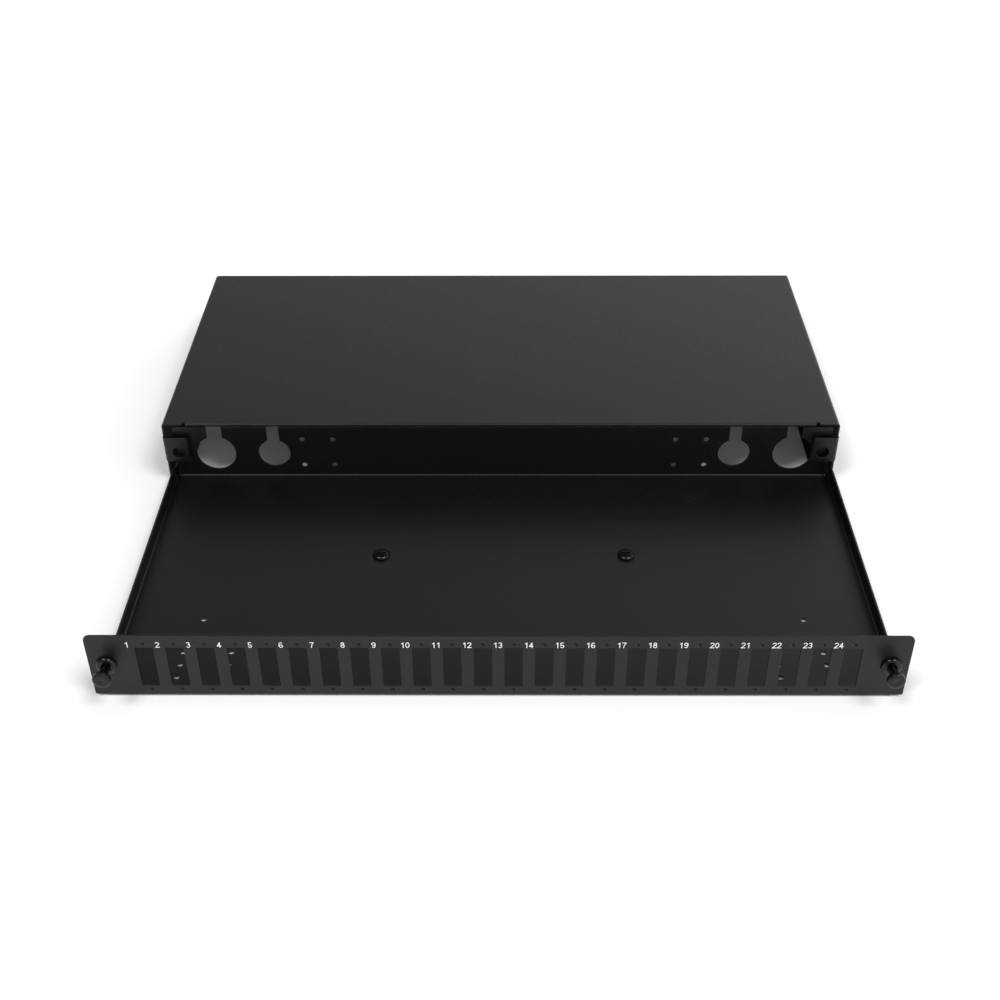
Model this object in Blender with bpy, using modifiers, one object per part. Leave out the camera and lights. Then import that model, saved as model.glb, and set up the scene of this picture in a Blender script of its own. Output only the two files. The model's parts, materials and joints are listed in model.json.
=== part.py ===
"""Sliding fibre patch panel, one rack unit high, drawer pulled out almost to its stop.

A folded steel housing carries a folded steel drawer on two bottom flanges. The
drawer's front is a separate angle with 24 adapter cut-outs, and its rear wall has
four cable entries that open at the top. Two push-pull plungers in the front lock
into tabs on the housing when the drawer is closed.

Metres, +Z up. The front looks along -Y. The object stands on Z = 0, and the
origin is the middle of its footprint. Inside the functions, Y is counted from
the face of the front; one empty, which everything hangs on, moves it there.
"""

import math

import bmesh
import bpy
from mathutils import Matrix, Vector

MM = 0.001

# Overall width, which fits between the rails of a 19-inch rack
BODY_WIDTH = 440.0 * MM

# Sheet metal
SHEET = 1.2 * MM
BEND_RADIUS = 1.0 * MM
ARC_STEPS = 4
FIT_GAP = 0.3 * MM
WELD = 0.01 * MM

# Row of adapter cut-outs in the front
SLOT_COUNT = 24
SLOT_WIDTH = 9.8 * MM
SLOT_HEIGHT = 28.0 * MM
ADAPTER_HOLE_D = 2.2 * MM
ADAPTER_HOLE_OFFSET = 2.4 * MM

# Front angle
EAR_WIDTH = 26.5 * MM
FRONT_TOP_MARGIN = 8.3 * MM
FRONT_BOTTOM_MARGIN = 7.7 * MM
FRONT_RETURN = 8.0 * MM
FRONT_CORNER_R = 3.5 * MM
EAR_FOOT = 1.6 * MM
EAR_FOOT_R = 1.0 * MM
EAR_RELIEF = 0.3 * MM
BEND_INSET = 6.6 * MM
RETURN_FLANGE_GAP = 0.6 * MM

# Housing
HOUSING_DEPTH = 206.6 * MM
HOUSING_BELOW_FRONT = 0.4 * MM
FLANGE_WIDTH = 12.0 * MM
HEM_DEPTH = 8.0 * MM
HEM_GAP = 0.3 * MM
HEM_RELIEF = 2.2 * MM
HEM_RELIEF_DEPTH = 2.4 * MM
TAB_WIDTH = 16.0 * MM
TAB_HEIGHT = 18.2 * MM
TAB_ABOVE_BORE = 2.2 * MM
TAB_HEM_GAP = 0.5 * MM
TAB_HOLE_D = 8.4 * MM
EAR_SCREW_D = 4.0 * MM
EAR_SCREW_SETBACK = 20.0 * MM
EAR_SCREW_PITCH = 32.0 * MM
EAR_SCREW_ROWS = 20.0 * MM

# Drawer
DRAWER_TRAVEL = 198.5 * MM
DRAWER_SIDE_GAP = 1.5 * MM
DRAWER_ASIDE = 1.2 * MM
STOP_SLACK = 2.4 * MM
DRAWER_WALL = 10.0 * MM
HEM_CLEARANCE = 0.5 * MM
REAR_SIDE_GAP = 0.2 * MM

# The tray takes up its side play to the right, by DRAWER_ASIDE, and stands STOP_SLACK
# before its stop. Its holes, entries and screws stand this far right of the middle
HOLES_ASIDE = 2.4 * MM

# Cable entries in the rear wall
ENTRY_LARGE_D = 25.6 * MM
ENTRY_LARGE_NECK = 10.0 * MM
ENTRY_SMALL_D = 20.6 * MM
ENTRY_SMALL_NECK = 8.0 * MM
ENTRY_RISE = 19.0 * MM
ENTRY_LARGE_INSET = 25.7 * MM
ENTRY_SPACING = 38.3 * MM
TIE_HOLE_D = 3.5 * MM
TIE_HOLE_PITCH = 20.0 * MM
TIE_HOLE_LAND = 8.6 * MM

# Small holes in the drawer floor, behind the front
FLOOR_HOLE_PITCH = 10.0 * MM
FLOOR_HOLE_FIRST = 12.3 * MM
FLOOR_HOLE_COLUMN = 27.0 * MM
FLOOR_HOLE_INSET = 39.6 * MM
FLOOR_HOLE_LONE = 60.0 * MM
FLOOR_HOLE_LONE_INSET = 46.0 * MM

# Pan-head screws in the drawer floor
SCREW_SPACING = 150.4 * MM
SCREW_SETBACK = 118.7 * MM
SCREW_D = 4.8 * MM
SCREW_HEAD_D = 9.4 * MM
SCREW_HEAD_H = 2.9 * MM
SCREW_HEAD_ROUND = 1.6 * MM
SCREW_BELOW_FLOOR = 1.0 * MM
RECESS_WIDTH = 1.1 * MM
RECESS_SPAN = 5.4 * MM
RECESS_DEPTH = 1.8 * MM

# Push-pull plungers
PLUNGER_INSET = 9.7 * MM
PLUNGER_ABOVE_SLOT_FOOT = 15.6 * MM
PLUNGER_TRAVEL = 7.0 * MM
PLUNGER_SHAFT_D = 4.4 * MM
PLUNGER_TIP_D = 4.8 * MM
PLUNGER_HEAD_D = 9.8 * MM
PLUNGER_HEAD_H = 3.2 * MM
PLUNGER_REACH = 3.5 * MM
BORE_CLEARANCE = 0.15 * MM
GROMMET_WALL = 1.05 * MM
GROMMET_FLANGE_D = 11.4 * MM
GROMMET_FLANGE_H = 2.2 * MM
GROMMET_LEG_LENGTH = 9.0 * MM
GROMMET_BEAD = 0.35 * MM
GROMMET_SPLIT = 0.9 * MM
PLUNGER_TIP_TAPER = 1.0 * MM
ROUND_STEPS = 24
SMALL_HOLE_STEPS = 12

# Places that follow from the sizes above
THROUGH_SHEET = 3 * SHEET
BEND_OUTSIDE = BEND_RADIUS + SHEET
BEND_CLEAR = BEND_OUTSIDE + SHEET
HALF_WIDTH = BODY_WIDTH / 2
FIRST_SLOT_X = -HALF_WIDTH + EAR_WIDTH + SLOT_WIDTH / 2
SLOT_PITCH = -2 * FIRST_SLOT_X / (SLOT_COUNT - 1)
FLOOR_Z = SHEET + FIT_GAP
FLOOR_TOP = FLOOR_Z + SHEET
SLOT_FOOT = FRONT_BOTTOM_MARGIN
SLOT_TOP = SLOT_FOOT + SLOT_HEIGHT
FRONT_TOP = SLOT_TOP + FRONT_TOP_MARGIN
HOUSING_TOP = FRONT_TOP - HOUSING_BELOW_FRONT
TAB_FACE = SHEET + FIT_GAP + DRAWER_TRAVEL
HOUSING_FRONT = TAB_FACE + BEND_CLEAR
HOUSING_BACK = HOUSING_FRONT + HOUSING_DEPTH
HOUSING_INSIDE = HALF_WIDTH - SHEET
HEM_THICKNESS = 2 * SHEET + HEM_GAP
DRAWER_HALF = HOUSING_INSIDE - DRAWER_SIDE_GAP
REAR_HALF = DRAWER_HALF - BEND_OUTSIDE - REAR_SIDE_GAP
REAR_FACE = TAB_FACE + SHEET + FIT_GAP + STOP_SLACK
REAR_BACK = REAR_FACE + SHEET
REAR_TOP = HOUSING_TOP - HEM_THICKNESS - HEM_CLEARANCE
PLUNGER_X = HALF_WIDTH - PLUNGER_INSET
PLUNGER_Z = SLOT_FOOT + PLUNGER_ABOVE_SLOT_FOOT
BORE_D = PLUNGER_TIP_D + 2 * BORE_CLEARANCE
GROMMET_D = BORE_D + 2 * GROMMET_WALL
FRONT_HOLE_D = GROMMET_D + 2 * FIT_GAP
TAB_INNER = HALF_WIDTH - TAB_WIDTH
ENTRY_Z = FLOOR_Z + ENTRY_RISE
ENTRY_LARGE_X = REAR_HALF - ENTRY_LARGE_INSET
ENTRY_SMALL_X = ENTRY_LARGE_X - ENTRY_SPACING
TIE_HOLE_X = ENTRY_SMALL_X - ENTRY_SMALL_D / 2 - TIE_HOLE_LAND
FLANGE_EDGE = HALF_WIDTH - FLANGE_WIDTH
BEND_HALF = HALF_WIDTH - BEND_INSET
RETURN_HALF = FLANGE_EDGE - RETURN_FLANGE_GAP
GROMMET_FACE = -FIT_GAP - GROMMET_FLANGE_H
KNOB_BACK = GROMMET_FACE - FIT_GAP - PLUNGER_TRAVEL
KNOB_FACE = KNOB_BACK - PLUNGER_HEAD_H
FOOTPRINT_MIDDLE = (KNOB_FACE + HOUSING_BACK) / 2


def clear_scene():
    for item in list(bpy.data.objects):
        bpy.data.objects.remove(item, do_unlink=True)


def make_collection(name):
    collection = bpy.data.collections.new(name)
    bpy.context.scene.collection.children.link(collection)
    return collection


def make_material(name, colour, roughness, metallic):
    material = bpy.data.materials.new(name)
    material.use_nodes = True
    shader = material.node_tree.nodes["Principled BSDF"]
    shader.inputs["Base Color"].default_value = (*colour, 1.0)
    shader.inputs["Roughness"].default_value = roughness
    shader.inputs["Metallic"].default_value = metallic
    return material


def make_object(name, bm, collection, material=None):
    mesh = bpy.data.meshes.new(name)
    bm.to_mesh(mesh)
    bm.free()
    thing = bpy.data.objects.new(name, mesh)
    collection.objects.link(thing)
    if material is not None:
        mesh.materials.append(material)
    return thing


def rounded_path(points, radii):
    """Turns the corners of an open polyline into arcs; radii has one value a corner."""
    path = [Vector(points[0])]
    for before, corner, after, radius in zip(points, points[1:], points[2:], radii):
        corner = Vector(corner)
        into = (corner - Vector(before)).normalized()
        out = (Vector(after) - corner).normalized()
        turn = into.angle_signed(out)
        if radius <= 0 or abs(turn) < 1e-6:
            path.append(corner)
            continue
        reach = radius * math.tan(abs(turn) / 2)
        side = Vector((-into.y, into.x)) * (-1 if turn > 0 else 1)
        centre = corner - into * reach + side * radius
        spoke = -side * radius
        for step in range(ARC_STEPS + 1):
            path.append(centre + Matrix.Rotation(-turn * step / ARC_STEPS, 2) @ spoke)
    path.append(Vector(points[-1]))
    return path


def place(point, plane, along):
    """Puts a 2D point of a plane, at a distance along its third axis, in space."""
    if plane == "XZ":
        return Vector((point.x, along, point.y))
    if plane == "YZ":
        return Vector((along, point.x, point.y))
    return Vector((point.x, point.y, along))


def add_strip(bm, path, plane, low, high):
    """A strip of surface between a path and its copy along the third axis.

    With that axis towards the viewer, the outer face lies to the right of the path.
    """
    first = [bm.verts.new(place(point, plane, low)) for point in path]
    last = [bm.verts.new(place(point, plane, high)) for point in path]
    for index in range(len(path) - 1):
        bm.faces.new((first[index], first[index + 1], last[index + 1], last[index]))


def folded_sheet(name, bm, collection, material):
    """Joins the strips of a right half, mirrors it and thickens it into one folded sheet."""
    bmesh.ops.remove_doubles(bm, verts=bm.verts, dist=WELD)
    thing = make_object(name, bm, collection, material)
    mirror = thing.modifiers.new("left half", "MIRROR")
    mirror.merge_threshold = WELD
    wall = thing.modifiers.new("sheet thickness", "SOLIDIFY")
    wall.thickness = SHEET
    wall.offset = -1
    wall.use_even_offset = True
    return thing


def add_box(bm, low, high):
    low, high = Vector(low), Vector(high)
    size = Matrix.Diagonal((*(high - low), 1))
    bmesh.ops.create_cube(bm, size=1, matrix=Matrix.Translation((low + high) / 2) @ size)


def add_rod(bm, middle, axis, radius, length, steps):
    turn = Vector((0, 0, 1)).rotation_difference(Vector(axis)).to_matrix().to_4x4()
    bmesh.ops.create_cone(bm, cap_ends=True, segments=steps, radius1=radius, radius2=radius,
                          depth=length, matrix=Matrix.Translation(Vector(middle)) @ turn)


def make_cutter(name, bm, collection):
    cutter = make_object(name, bm, collection)
    cutter.hide_render = True
    cutter.display_type = "WIRE"
    return cutter


def cut_away(thing, cutter):
    step = thing.modifiers.new(cutter.name, "BOOLEAN")
    step.operation = "DIFFERENCE"
    step.solver = "EXACT"
    step.object = cutter


def turned(name, profile, collection, material, centre, along="Y"):
    """Turns a profile of (radius, distance), which starts at its far end, about an axis."""
    bm = bmesh.new()
    points = [bm.verts.new((radius, 0, distance)) for radius, distance in profile]
    for before, after in zip(points, points[1:]):
        bm.edges.new((before, after))
    thing = make_object(name, bm, collection, material)
    thing.location = centre
    if along == "Y":
        thing.rotation_euler = (-math.pi / 2, 0, 0)
    spin = thing.modifiers.new("turn", "SCREW")
    spin.axis = "Z"
    spin.steps = ROUND_STEPS
    spin.render_steps = ROUND_STEPS
    spin.use_merge_vertices = True
    spin.merge_threshold = WELD
    spin.use_smooth_shade = True
    return thing


def side_name(side):
    return "right" if side > 0 else "left"


def screw_x(side):
    return HOLES_ASIDE + side * SCREW_SPACING / 2


def slot_places():
    return [FIRST_SLOT_X + number * SLOT_PITCH for number in range(SLOT_COUNT)]


def build_front(parts, cutters, steel):
    """Angle with the adapter cut-outs: its return runs under the drawer floor, between the flanges."""
    bm = bmesh.new()
    face_and_bend = [(0, FRONT_TOP), (0, BEND_CLEAR), (0, 0), (BEND_OUTSIDE, 0)]
    path = rounded_path(face_and_bend, [0, BEND_OUTSIDE])
    add_strip(bm, path[:-1], "YZ", RETURN_HALF, BEND_HALF)
    path[-1] = Vector((SHEET + FRONT_RETURN, 0))
    add_strip(bm, path, "YZ", 0, RETURN_HALF)
    corners = [
        (BEND_HALF, BEND_CLEAR),
        (BEND_HALF + EAR_RELIEF, BEND_CLEAR),
        (BEND_HALF + EAR_RELIEF, EAR_FOOT),
        (HALF_WIDTH, EAR_FOOT),
        (HALF_WIDTH, FRONT_TOP),
        (BEND_HALF, FRONT_TOP),
    ]
    outline = rounded_path(corners, [0, 0, EAR_FOOT_R, FRONT_CORNER_R])
    bm.faces.new([bm.verts.new(place(point, "XZ", 0)) for point in outline])
    front = folded_sheet("front_panel", bm, parts, steel)

    bm = bmesh.new()
    for x in slot_places():
        add_box(bm, (x - SLOT_WIDTH / 2, -SHEET, SLOT_FOOT), (x + SLOT_WIDTH / 2, 2 * SHEET, SLOT_TOP))
    cut_away(front, make_cutter("adapter cut-outs", bm, cutters))

    bm = bmesh.new()
    for x in slot_places():
        for z in (SLOT_FOOT - ADAPTER_HOLE_OFFSET, SLOT_TOP + ADAPTER_HOLE_OFFSET):
            add_rod(bm, (x, SHEET / 2, z), (0, 1, 0), ADAPTER_HOLE_D / 2, THROUGH_SHEET, SMALL_HOLE_STEPS)
    for side in (-1, 1):
        centre = (side * PLUNGER_X, SHEET / 2, PLUNGER_Z)
        add_rod(bm, centre, (0, 1, 0), FRONT_HOLE_D / 2, THROUGH_SHEET, ROUND_STEPS)
    cut_away(front, make_cutter("front holes", bm, cutters))
    return front


def build_housing(parts, cutters, steel):
    """Sleeve open at the front and back, with two flanges in place of a floor."""
    tab_low = PLUNGER_Z + TAB_ABOVE_BORE - TAB_HEIGHT / 2
    tab_high = tab_low + TAB_HEIGHT
    hem_half = TAB_INNER + TAB_HEM_GAP
    hem_root = HOUSING_FRONT + HEM_RELIEF_DEPTH

    bm = bmesh.new()
    corners = [
        (0, HOUSING_TOP),
        (hem_half, HOUSING_TOP),
        (hem_half + HEM_RELIEF, HOUSING_TOP),
        (HALF_WIDTH, HOUSING_TOP),
        (HALF_WIDTH, tab_high),
        (HALF_WIDTH, tab_low),
        (HALF_WIDTH, 0),
        (FLANGE_EDGE, 0),
    ]
    radii = [0, 0, BEND_OUTSIDE, 0, 0, BEND_OUTSIDE]
    add_strip(bm, rounded_path(corners, radii), "XZ", hem_root, HOUSING_BACK)
    add_strip(bm, rounded_path(corners[2:], radii[2:]), "XZ", HOUSING_FRONT, hem_root)

    tab = [(TAB_INNER, TAB_FACE), (HALF_WIDTH, TAB_FACE), (HALF_WIDTH, HOUSING_FRONT)]
    add_strip(bm, rounded_path(tab, [BEND_OUTSIDE]), "XY", tab_low, tab_high)
    hem_foot = HOUSING_TOP - HEM_THICKNESS
    hem = [(hem_root, HOUSING_TOP), (HOUSING_FRONT, HOUSING_TOP),
           (HOUSING_FRONT, hem_foot), (HOUSING_FRONT + HEM_DEPTH, hem_foot)]
    add_strip(bm, rounded_path(hem, [HEM_THICKNESS / 2] * 2), "YZ", 0, hem_half)
    housing = folded_sheet("housing_shell", bm, parts, steel)

    bm = bmesh.new()
    for side in (-1, 1):
        centre = (side * PLUNGER_X, TAB_FACE + SHEET / 2, PLUNGER_Z)
        add_rod(bm, centre, (0, 1, 0), TAB_HOLE_D / 2, THROUGH_SHEET, ROUND_STEPS)
        for row in (-1, 1):
            for column in (0, 1):
                y = HOUSING_FRONT + EAR_SCREW_SETBACK + column * EAR_SCREW_PITCH
                z = HOUSING_TOP / 2 + row * EAR_SCREW_ROWS / 2
                spot = (side * (HALF_WIDTH - SHEET / 2), y, z)
                add_rod(bm, spot, (1, 0, 0), EAR_SCREW_D / 2, THROUGH_SHEET, SMALL_HOLE_STEPS)
    cut_away(housing, make_cutter("housing holes", bm, cutters))
    return housing


def cut_cable_entries(tray, cutters):
    """Round entries with a neck that opens at the top edge of the rear wall."""
    rounds = bmesh.new()
    necks = bmesh.new()
    middle = REAR_FACE + SHEET / 2
    entries = ((ENTRY_LARGE_X, ENTRY_LARGE_D, ENTRY_LARGE_NECK),
               (ENTRY_SMALL_X, ENTRY_SMALL_D, ENTRY_SMALL_NECK))
    for side in (-1, 1):
        for from_middle, diameter, neck in entries:
            x = HOLES_ASIDE + side * from_middle
            add_rod(rounds, (x, middle, ENTRY_Z), (0, 1, 0), diameter / 2, THROUGH_SHEET, 2 * ROUND_STEPS)
            low = (x - neck / 2, middle - THROUGH_SHEET / 2, ENTRY_Z)
            high = (x + neck / 2, middle + THROUGH_SHEET / 2, HOUSING_TOP)
            add_box(necks, low, high)
        for column in (0, 1):
            for row in (-1, 1):
                x = HOLES_ASIDE + side * (TIE_HOLE_X - column * TIE_HOLE_PITCH)
                z = (FLOOR_Z + REAR_TOP) / 2 + row * TIE_HOLE_PITCH / 2
                add_rod(rounds, (x, middle, z), (0, 1, 0), TIE_HOLE_D / 2, THROUGH_SHEET, SMALL_HOLE_STEPS)
    cut_away(tray, make_cutter("cable entries", rounds, cutters))
    cut_away(tray, make_cutter("entry necks", necks, cutters))


def floor_hole_places():
    column_x = HALF_WIDTH - FLOOR_HOLE_INSET
    places = [(HALF_WIDTH - FLOOR_HOLE_LONE_INSET, FLOOR_HOLE_LONE)]
    for column in range(2):
        for row in range(3):
            x = column_x - column * FLOOR_HOLE_COLUMN
            places.append((x, FLOOR_HOLE_FIRST + row * FLOOR_HOLE_PITCH))
    return places


def build_tray(parts, cutters, steel):
    """Drawer: floor, two low side walls and a full-height rear wall from one sheet."""
    wall_top = FLOOR_Z + DRAWER_WALL
    floor_back = REAR_BACK - BEND_CLEAR

    bm = bmesh.new()
    corners = [(DRAWER_HALF, wall_top), (DRAWER_HALF, FLOOR_Z), (REAR_HALF, FLOOR_Z), (0, FLOOR_Z)]
    add_strip(bm, rounded_path(corners, [BEND_OUTSIDE, 0]), "XZ", BEND_OUTSIDE, floor_back)
    rear = [(floor_back, FLOOR_Z), (REAR_BACK, FLOOR_Z), (REAR_BACK, REAR_TOP)]
    add_strip(bm, rounded_path(rear, [BEND_OUTSIDE]), "YZ", 0, REAR_HALF)
    tray = folded_sheet("drawer_tray", bm, parts, steel)
    tray.location.x = DRAWER_ASIDE
    cut_cable_entries(tray, cutters)

    bm = bmesh.new()
    for side in (-1, 1):
        for x, y in floor_hole_places():
            spot = (HOLES_ASIDE + side * x, y, FLOOR_Z + SHEET / 2)
            add_rod(bm, spot, (0, 0, 1), TIE_HOLE_D / 2, THROUGH_SHEET, SMALL_HOLE_STEPS)
        spot = (screw_x(side), SCREW_SETBACK, FLOOR_Z + SHEET / 2)
        add_rod(bm, spot, (0, 0, 1), SCREW_D / 2 + FIT_GAP, THROUGH_SHEET, ROUND_STEPS)
    cut_away(tray, make_cutter("floor holes", bm, cutters))
    return tray


def build_floor_screw(side, parts, cutters, zinc):
    """Pan-head screw with a cross recess, standing on the drawer floor."""
    shank = SCREW_D / 2
    head = SCREW_HEAD_D / 2
    seat = FLOOR_TOP + FIT_GAP
    top = seat + SCREW_HEAD_H
    foot = FLOOR_Z - SCREW_BELOW_FLOOR
    profile = [(0, top)]
    for step in range(ARC_STEPS + 1):
        angle = math.pi / 2 * step / ARC_STEPS
        profile.append((head - SCREW_HEAD_ROUND * (1 - math.sin(angle)),
                        top - SCREW_HEAD_ROUND * (1 - math.cos(angle))))
    profile += [(head, seat), (shank, seat), (shank, foot), (0, foot)]
    name = "floor_screw_" + side_name(side)
    x = screw_x(side)
    screw = turned(name, profile, parts, zinc, (x, SCREW_SETBACK, 0), along="Z")

    for along_x, along_y in ((RECESS_SPAN, RECESS_WIDTH), (RECESS_WIDTH, RECESS_SPAN)):
        bm = bmesh.new()
        add_box(bm, (x - along_x / 2, SCREW_SETBACK - along_y / 2, top - RECESS_DEPTH),
                (x + along_x / 2, SCREW_SETBACK + along_y / 2, top + SHEET))
        cut_away(screw, make_cutter(name + " recess", bm, cutters))
    return screw


def build_grommet(side, parts, cutters, nylon):
    """Snap-in grommet: domed flange on the front, four split legs behind it."""
    flange = GROMMET_FLANGE_D / 2
    outer = GROMMET_D / 2
    bore = BORE_D / 2
    face = -FIT_GAP
    front = GROMMET_FACE
    bead_start = SHEET + FIT_GAP
    tip = bead_start + GROMMET_LEG_LENGTH
    profile = [
        (bore, front),
        (bore + 0.5 * GROMMET_WALL, front),
        (flange * 0.8, front + 0.35 * GROMMET_FLANGE_H),
        (flange, front + 0.75 * GROMMET_FLANGE_H),
        (flange, face),
        (outer, face),
        (outer, bead_start),
        (outer + GROMMET_BEAD, bead_start + GROMMET_BEAD),
        (outer + GROMMET_BEAD, bead_start + 4 * GROMMET_BEAD),
        (outer, bead_start + 0.5 * GROMMET_LEG_LENGTH),
        (outer - 0.5 * GROMMET_WALL, tip),
        (bore, tip),
        (bore, front),
    ]
    name = "latch_grommet_" + side_name(side)
    centre = (side * PLUNGER_X, 0, PLUNGER_Z)
    grommet = turned(name, profile[::-1], parts, nylon, centre)

    half = GROMMET_SPLIT / 2
    for wide, tall in ((half, GROMMET_D), (GROMMET_D, half)):
        bm = bmesh.new()
        add_box(bm, (side * PLUNGER_X - wide, bead_start + GROMMET_WALL, PLUNGER_Z - tall),
                (side * PLUNGER_X + wide, tip + SHEET, PLUNGER_Z + tall))
        cut_away(grommet, make_cutter(name + " split", bm, cutters))
    return grommet


def build_plunger(side, parts, nylon):
    """Knob and shaft in one moulding, shown pulled out by its full travel."""
    shaft = PLUNGER_SHAFT_D / 2
    tip_radius = PLUNGER_TIP_D / 2
    head = PLUNGER_HEAD_D / 2
    end = PLUNGER_REACH
    collar = end - 3 * BORE_CLEARANCE
    profile = [
        (0, KNOB_FACE),
        (head * 0.6, KNOB_FACE + 0.03 * PLUNGER_HEAD_H),
        (head * 0.9, KNOB_FACE + 0.12 * PLUNGER_HEAD_H),
        (head, KNOB_FACE + 0.38 * PLUNGER_HEAD_H),
        (head, KNOB_FACE + 0.72 * PLUNGER_HEAD_H),
        (head * 0.86, KNOB_BACK),
        (shaft + 0.1 * head, KNOB_BACK),
        (shaft, KNOB_BACK + 0.1 * PLUNGER_TRAVEL),
        (shaft, collar - (tip_radius - shaft)),
        (tip_radius, collar),
        (tip_radius, end),
        (tip_radius * 0.7, end + PLUNGER_TIP_TAPER),
        (0, end + PLUNGER_TIP_TAPER),
    ]
    centre = (side * PLUNGER_X, 0, PLUNGER_Z)
    return turned("latch_plunger_" + side_name(side), profile[::-1], parts, nylon, centre)


def build():
    clear_scene()
    parts = make_collection("sliding_patch_panel")
    cutters = make_collection("cutters")
    steel = make_material("powder_coated_steel", (0.035, 0.036, 0.038), 0.55, 0.0)
    nylon = make_material("black_nylon", (0.012, 0.012, 0.013), 0.3, 0.0)
    zinc = make_material("black_zinc_screw", (0.05, 0.05, 0.052), 0.35, 1.0)
    build_housing(parts, cutters, steel)
    build_tray(parts, cutters, steel)
    build_front(parts, cutters, steel)
    for side in (-1, 1):
        build_floor_screw(side, parts, cutters, zinc)
        build_grommet(side, parts, cutters, nylon)
        build_plunger(side, parts, nylon)
    middle = bpy.data.objects.new("footprint_middle", None)
    bpy.context.scene.collection.objects.link(middle)
    middle.location = (0, -FOOTPRINT_MIDDLE, 0)
    for thing in list(parts.objects) + list(cutters.objects):
        thing.parent = middle


build()
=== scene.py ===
import json
import math

import bmesh
import bpy
from mathutils import Matrix, Quaternion, Vector

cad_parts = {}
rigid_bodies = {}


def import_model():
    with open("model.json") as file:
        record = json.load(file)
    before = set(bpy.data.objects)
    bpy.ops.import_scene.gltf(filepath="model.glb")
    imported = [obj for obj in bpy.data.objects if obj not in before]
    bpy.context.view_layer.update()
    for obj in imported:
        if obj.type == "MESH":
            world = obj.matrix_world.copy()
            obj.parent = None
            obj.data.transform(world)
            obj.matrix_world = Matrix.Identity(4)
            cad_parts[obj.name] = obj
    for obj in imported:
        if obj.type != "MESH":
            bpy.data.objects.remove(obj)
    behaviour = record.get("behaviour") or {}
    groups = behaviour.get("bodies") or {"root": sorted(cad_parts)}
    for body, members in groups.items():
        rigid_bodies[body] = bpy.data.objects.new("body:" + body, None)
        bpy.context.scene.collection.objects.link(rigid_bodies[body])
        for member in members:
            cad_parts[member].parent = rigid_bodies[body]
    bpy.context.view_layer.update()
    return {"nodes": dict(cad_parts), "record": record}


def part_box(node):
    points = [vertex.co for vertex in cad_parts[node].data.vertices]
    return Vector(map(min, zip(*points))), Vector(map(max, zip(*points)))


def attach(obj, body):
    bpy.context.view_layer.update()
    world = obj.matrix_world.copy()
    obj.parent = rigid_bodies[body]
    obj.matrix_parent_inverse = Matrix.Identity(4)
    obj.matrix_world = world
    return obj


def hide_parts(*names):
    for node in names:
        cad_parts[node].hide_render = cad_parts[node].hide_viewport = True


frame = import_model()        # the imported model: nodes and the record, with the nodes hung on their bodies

mm = 0.001


def hexColour(text, alpha=1.0):
    # sRGB hex to the linear values that a shader takes
    linear = []
    for start in (1, 3, 5):
        value = int(text[start:start + 2], 16) / 255
        linear.append(value / 12.92 if value <= 0.04045 else ((value + 0.055) / 1.055) ** 2.4)
    return (*linear, alpha)


def perSize(size):
    # scale of a texture whose grains are this many metres wide
    return 1.0 / size


def addNode(tree, kind, values=None, **settings):
    # one node with its settings, its values and the links into it
    node = tree.nodes.new(kind)
    for name, value in settings.items():
        setattr(node, name, value)
    for name, value in (values or {}).items():
        if isinstance(value, bpy.types.NodeSocket):
            tree.links.new(value, node.inputs[name])
        else:
            node.inputs[name].default_value = value
    return node


def link(thing):
    bpy.context.scene.collection.objects.link(thing)
    return thing


def meshObject(name, bm):
    mesh = bpy.data.meshes.new(name)
    bm.to_mesh(mesh)
    bm.free()
    return link(bpy.data.objects.new(name, mesh))


def settle(thing, name, place=Matrix.Identity(4), creases=None):
    # the evaluated object as a plain mesh at the origin; the first object goes
    bpy.context.view_layer.update()
    graph = bpy.context.evaluated_depsgraph_get()
    mesh = bpy.data.meshes.new_from_object(
        thing.evaluated_get(graph), preserve_all_data_layers=True, depsgraph=graph)
    mesh.transform(place @ thing.matrix_world)
    bpy.data.objects.remove(thing, do_unlink=True)
    mesh.name = name
    if creases is not None:
        mesh.shade_smooth()
        mesh.set_sharp_from_angle(angle=math.radians(creases))
    return link(bpy.data.objects.new(name, mesh))


def boolean(thing, cutter):
    step = thing.modifiers.new("cut", "BOOLEAN")
    step.operation = "DIFFERENCE"
    step.solver = "EXACT"
    step.object = cutter


def addBox(bm, low, high):
    low, high = Vector(low), Vector(high)
    size = Matrix.Diagonal((*(high - low), 1))
    bmesh.ops.create_cube(bm, size=1, matrix=Matrix.Translation((low + high) / 2) @ size)


def ovalArc(x, y, acrossR, upR, start, end, step):
    # points of an oval's arc between two angles in degrees
    count = max(1, round(abs(end - start) / step))
    angles = [math.radians(start + (end - start) * index / count) for index in range(count + 1)]
    return [(x + acrossR * math.cos(angle), y + upR * math.sin(angle)) for angle in angles]


def turned(profile, steps):
    # a profile of (radius, distance) turned about Z; an end on the axis closes at a pole
    bm = bmesh.new()
    points = [bm.verts.new((radius, 0, distance)) for radius, distance in profile]
    rim = [bm.edges.new(pair) for pair in zip(points, points[1:])]
    bmesh.ops.spin(bm, geom=points + rim, cent=(0, 0, 0), axis=(0, 0, 1),
                   angle=2 * math.pi, steps=steps, use_merge=True)
    bmesh.ops.remove_doubles(bm, verts=bm.verts, dist=0.0005 * mm)
    bmesh.ops.recalc_face_normals(bm, faces=bm.faces)
    return bm


def dress(piece, material, body, slot, *nodes):
    # finish and body of a piece, and the CAD nodes that it stands for, which are hidden; the slot is not
    # used
    piece.data.materials.clear()
    piece.data.materials.append(material)
    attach(piece, body)
    if nodes:
        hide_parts(*nodes)
    return piece


# Camera: placed so that the straight edges fall where they do in the photograph
cameraView = {
    "place": (5.8 * mm, -729.8 * mm, 529.5 * mm),
    "pitch": 36.68,          # degrees below the horizon
    "yaw": -0.48,
    "roll": -0.27,
    "lens": 48.93,
    "sensor": 36.0,
}


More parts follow.
